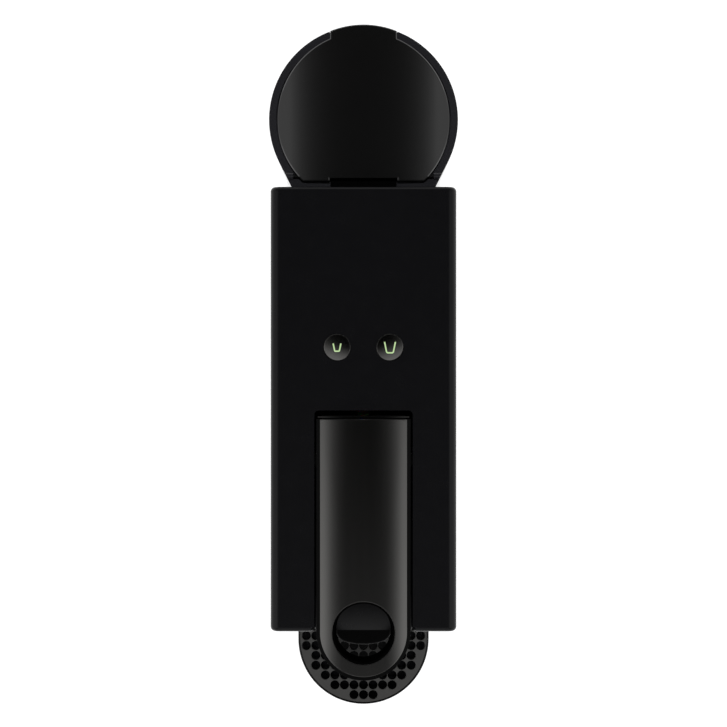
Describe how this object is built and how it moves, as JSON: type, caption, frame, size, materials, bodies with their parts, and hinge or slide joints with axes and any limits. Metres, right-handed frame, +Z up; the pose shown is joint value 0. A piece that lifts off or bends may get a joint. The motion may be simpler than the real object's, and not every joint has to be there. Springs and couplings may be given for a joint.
{
  "type": "pod coffee machine",
  "caption": "Slim capsule coffee machine with a finger-loop lever over its top, round buttons, a round water tank behind and a half-round drip tray in front.",
  "frame": {"origin": "on the table under the middle of the outline seen from above", "axes": "+Z up, -Y to the front with the drip tray, +Y to the back with the tank, +X to the right in the picture"},
  "size_m": [0.0846, 0.33, 0.204],
  "materials": {
    "shell_black": "semi-gloss black",
    "panel_black": "satin black",
    "lever_grey": "satin anthracite with a metallic coat",
    "button_grey": "satin anthracite with a metallic coat",
    "grid_grey": "satin dark grey",
    "tank_smoke": "smoked, see-through",
    "lid_black": "gloss black",
    "steel": "brushed",
    "cast_aluminium": "as cast",
    "rubber_black": "matte",
    "hose_silicone": "translucent white",
    "inner_plastic": "moulded dark grey",
    "pump_brass": "turned",
    "coil_black": "moulded",
    "board_green": "lacquered board",
    "fuse_ceramic": "ceramic"
  },
  "bodies": {
    "housing": {"outer_shell": "shell_black", "front_panel": "panel_black", "rear_panel": "panel_black", "base_plate": "panel_black", "rubber_feet": "rubber_black", "cord_gland": "rubber_black", "left_cheek": "inner_plastic", "right_cheek": "inner_plastic", "extraction_head": "inner_plastic", "extraction_plate": "steel", "spout_nozzle": "inner_plastic", "coffee_spout": "panel_black", "guide_rods": "steel", "rear_bridge": "inner_plastic", "capsule_chute": "inner_plastic", "rocker_shaft": "steel", "pump_core": "pump_brass", "pump_coil": "coil_black", "pump_mounts": "rubber_black", "flow_meter": "inner_plastic", "suction_hose": "hose_silicone", "meter_hose": "hose_silicone", "pressure_hose": "hose_silicone", "feed_hose": "hose_silicone", "thermoblock": "cast_aluminium", "heater_terminals": "steel", "thermal_fuse": "fuse_ceramic", "control_board": "board_green", "tact_switches": "inner_plastic", "button_board": "board_green", "button_carrier": "inner_plastic", "tank_spigot": "inner_plastic", "spigot_seal": "rubber_black"},
    "lever": {"lever_handle": "lever_grey", "lever_core": "panel_black", "lever_axle": "panel_black", "crank_pins": "steel"},
    "tie_rods": {"tie_rods": "steel"},
    "rocker": {"rocker_yoke": "steel", "rocker_pins": "steel", "yoke_pin": "steel"},
    "carriage": {"capsule_cage": "inner_plastic", "cage_seal": "rubber_black", "injection_plate": "steel"},
    "espresso_button": {"espresso_button": "button_grey"},
    "lungo_button": {"lungo_button": "button_grey"},
    "tank": {"water_tank": "tank_smoke", "tank_valve": "inner_plastic", "valve_poppet": "rubber_black", "tank_lid_pin": "steel"},
    "tank_lid": {"tank_lid": "lid_black"},
    "drawer": {"drip_tray": "panel_black", "capsule_container": "panel_black"},
    "drip_grid": {"drip_grid": "grid_grey"}
  },
  "joints": [
    {"name": "lever_hinge", "type": "hinge", "parent": "housing", "child": "lever", "pos_m": [0, -0.0293, 0.1925], "axis": [-1, 0, 0], "range_deg": [0, 80]},
    {"name": "tie_rod_hinge", "type": "hinge", "parent": "lever", "child": "tie_rods", "pos_m": [0, -0.01578, 0.19612], "axis": [-1, 0, 0], "range_deg": [-80, 0]},
    {"name": "rocker_hinge", "type": "hinge", "parent": "housing", "child": "rocker", "pos_m": [0, -0.0293, 0.12481], "axis": [-1, 0, 0], "range_deg": [0, 80]},
    {"name": "carriage_slide", "type": "slide", "parent": "housing", "child": "carriage", "axis": [0, 1, 0], "range_m": [0, 0.03087], "deforming": ["feed_hose"]},
    {"name": "espresso_press", "type": "slide", "parent": "housing", "child": "espresso_button", "axis": [0, 0, -1], "range_m": [0, 0.0012], "stiffness_N_per_m": 150, "springref_m": -0.002},
    {"name": "lungo_press", "type": "slide", "parent": "housing", "child": "lungo_button", "axis": [0, 0, -1], "range_m": [0, 0.0012], "stiffness_N_per_m": 150, "springref_m": -0.002},
    {"name": "tank_lift", "type": "slide", "parent": "housing", "child": "tank", "axis": [0, 0, 1], "range_m": [0, 0.18]},
    {"name": "lid_hinge", "type": "hinge", "parent": "tank", "child": "tank_lid", "pos_m": [0, 0.0975, 0.186], "axis": [1, 0, 0], "range_deg": [0, 80]},
    {"name": "drawer_slide", "type": "slide", "parent": "housing", "child": "drawer", "axis": [0, -1, 0], "range_m": [0, 0.09]},
    {"name": "grid_lift", "type": "slide", "parent": "drawer", "child": "drip_grid", "axis": [0, 0, 1], "range_m": [0, 0.06]}
  ],
  "couplings": [
    {"joint": "tie_rod_hinge", "follows": "lever_hinge", "ratio": -1},
    {"joint": "rocker_hinge", "follows": "lever_hinge", "ratio": 1},
    {"joint": "carriage_slide", "follows": "lever_hinge", "m_per_rad": 0.022097}
  ]
}
